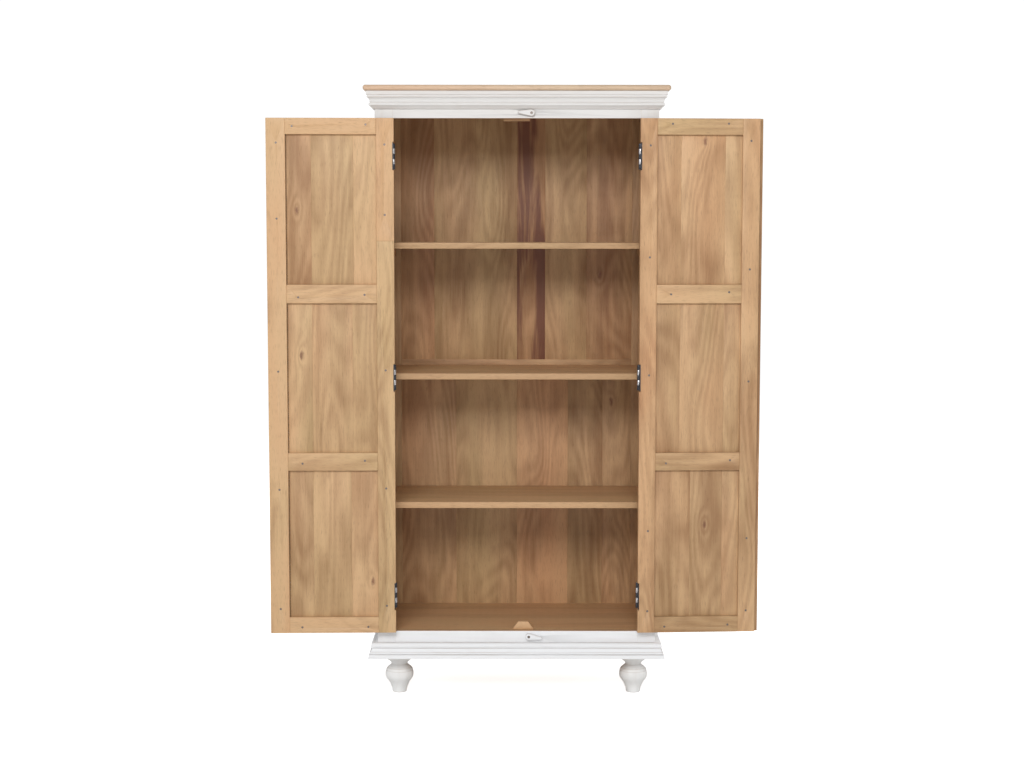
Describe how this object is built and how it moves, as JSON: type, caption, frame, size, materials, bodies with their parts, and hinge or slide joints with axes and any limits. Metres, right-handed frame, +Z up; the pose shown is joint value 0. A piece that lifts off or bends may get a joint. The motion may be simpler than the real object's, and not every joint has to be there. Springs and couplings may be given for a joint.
{
  "type": "armoire",
  "caption": "Free-standing armoire with a face frame, framed sides and back, fixed shelves, turned feet and framed doors that swing right back on butt hinges.",
  "frame": {"origin": "on the floor, under the middle of the space that the armoire takes with its doors open; the carcass is centred on X = 0 and its face frame's front is at Y = -0.185", "axes": "+Z up, the doors face -Y, +X to the right of someone who faces the doors"},
  "size_m": [1.4373, 0.4506, 1.8],
  "materials": {
    "white_paint": "matt white paint over wood, lightly rubbed through at the edges",
    "bare_wood": "waxed softwood with visible grain and knots",
    "interior_wood": "waxed softwood, darker inside the cupboard",
    "hinge_steel": "dull bright steel",
    "screw_steel": "dark aged steel"
  },
  "bodies": {
    "carcass": {"cornice_front": "white_paint", "cornice_left": "white_paint", "cornice_right": "white_paint", "frieze_rail": "white_paint", "front_stile_left": "white_paint", "front_stile_right": "white_paint", "plinth_rail": "white_paint", "base_moulding_front": "white_paint", "base_moulding_left": "white_paint", "base_moulding_right": "white_paint", "side_left_stiles": "white_paint", "side_left_rails": "white_paint", "side_left_panels": "white_paint", "side_right_stiles": "white_paint", "side_right_rails": "white_paint", "side_right_panels": "white_paint", "foot_front_left": "white_paint", "foot_front_right": "white_paint", "foot_rear_left": "white_paint", "foot_rear_right": "white_paint", "cap_board": "bare_wood", "back_stiles": "interior_wood", "back_rails": "interior_wood", "back_panel_upper": "interior_wood", "back_panel_lower": "interior_wood", "bottom_board": "interior_wood", "shelf_upper": "interior_wood", "shelf_middle": "interior_wood", "shelf_lower": "interior_wood", "shelf_cleats": "interior_wood", "foot_blocks": "interior_wood", "door_stop_top": "interior_wood", "door_stop_bottom": "bare_wood", "hinge_frame_leaves_left": "screw_steel", "hinge_frame_leaves_right": "screw_steel", "hinge_pins": "hinge_steel", "frame_hinge_screws": "screw_steel", "turn_button_screws": "screw_steel"},
    "door_left": {"door_left_outer_hinge_stile": "white_paint", "door_left_outer_meeting_stile": "white_paint", "door_left_outer_rails": "white_paint", "door_left_inner_hinge_stile": "bare_wood", "door_left_inner_meeting_stile": "bare_wood", "door_left_inner_rails": "bare_wood", "door_left_panels": "white_paint", "door_left_screws": "screw_steel", "door_left_hinge_screws": "screw_steel", "hinge_door_leaves_left": "hinge_steel"},
    "door_right": {"door_right_outer_hinge_stile": "white_paint", "door_right_outer_meeting_stile": "white_paint", "door_right_outer_rails": "white_paint", "door_right_inner_hinge_stile": "bare_wood", "door_right_inner_meeting_stile": "bare_wood", "door_right_inner_rails": "bare_wood", "door_right_panels": "white_paint", "door_right_screws": "screw_steel", "door_right_hinge_screws": "screw_steel", "hinge_door_leaves_right": "hinge_steel"},
    "turn_button_top": {"turn_button_top": "white_paint"},
    "turn_button_bottom": {"turn_button_bottom": "white_paint"}
  },
  "joints": [
    {"name": "door_left_hinge", "type": "hinge", "parent": "carcass", "child": "door_left", "pos_m": [-0.3574, -0.1895, 0.9535], "axis": [0, 0, 1], "range_deg": [0, 178.5]},
    {"name": "door_right_hinge", "type": "hinge", "parent": "carcass", "child": "door_right", "pos_m": [0.3574, -0.1895, 0.9535], "axis": [0, 0, -1], "range_deg": [0, 183.5]},
    {"name": "turn_button_top_pivot", "type": "hinge", "parent": "carcass", "child": "turn_button_top", "pos_m": [0.0424, -0.185, 1.7215], "axis": [0, -1, 0], "range_deg": [0, 180]},
    {"name": "turn_button_bottom_pivot", "type": "hinge", "parent": "carcass", "child": "turn_button_bottom", "pos_m": [0.0367, -0.185, 0.1815], "axis": [0, -1, 0], "range_deg": [0, 187]}
  ]
}
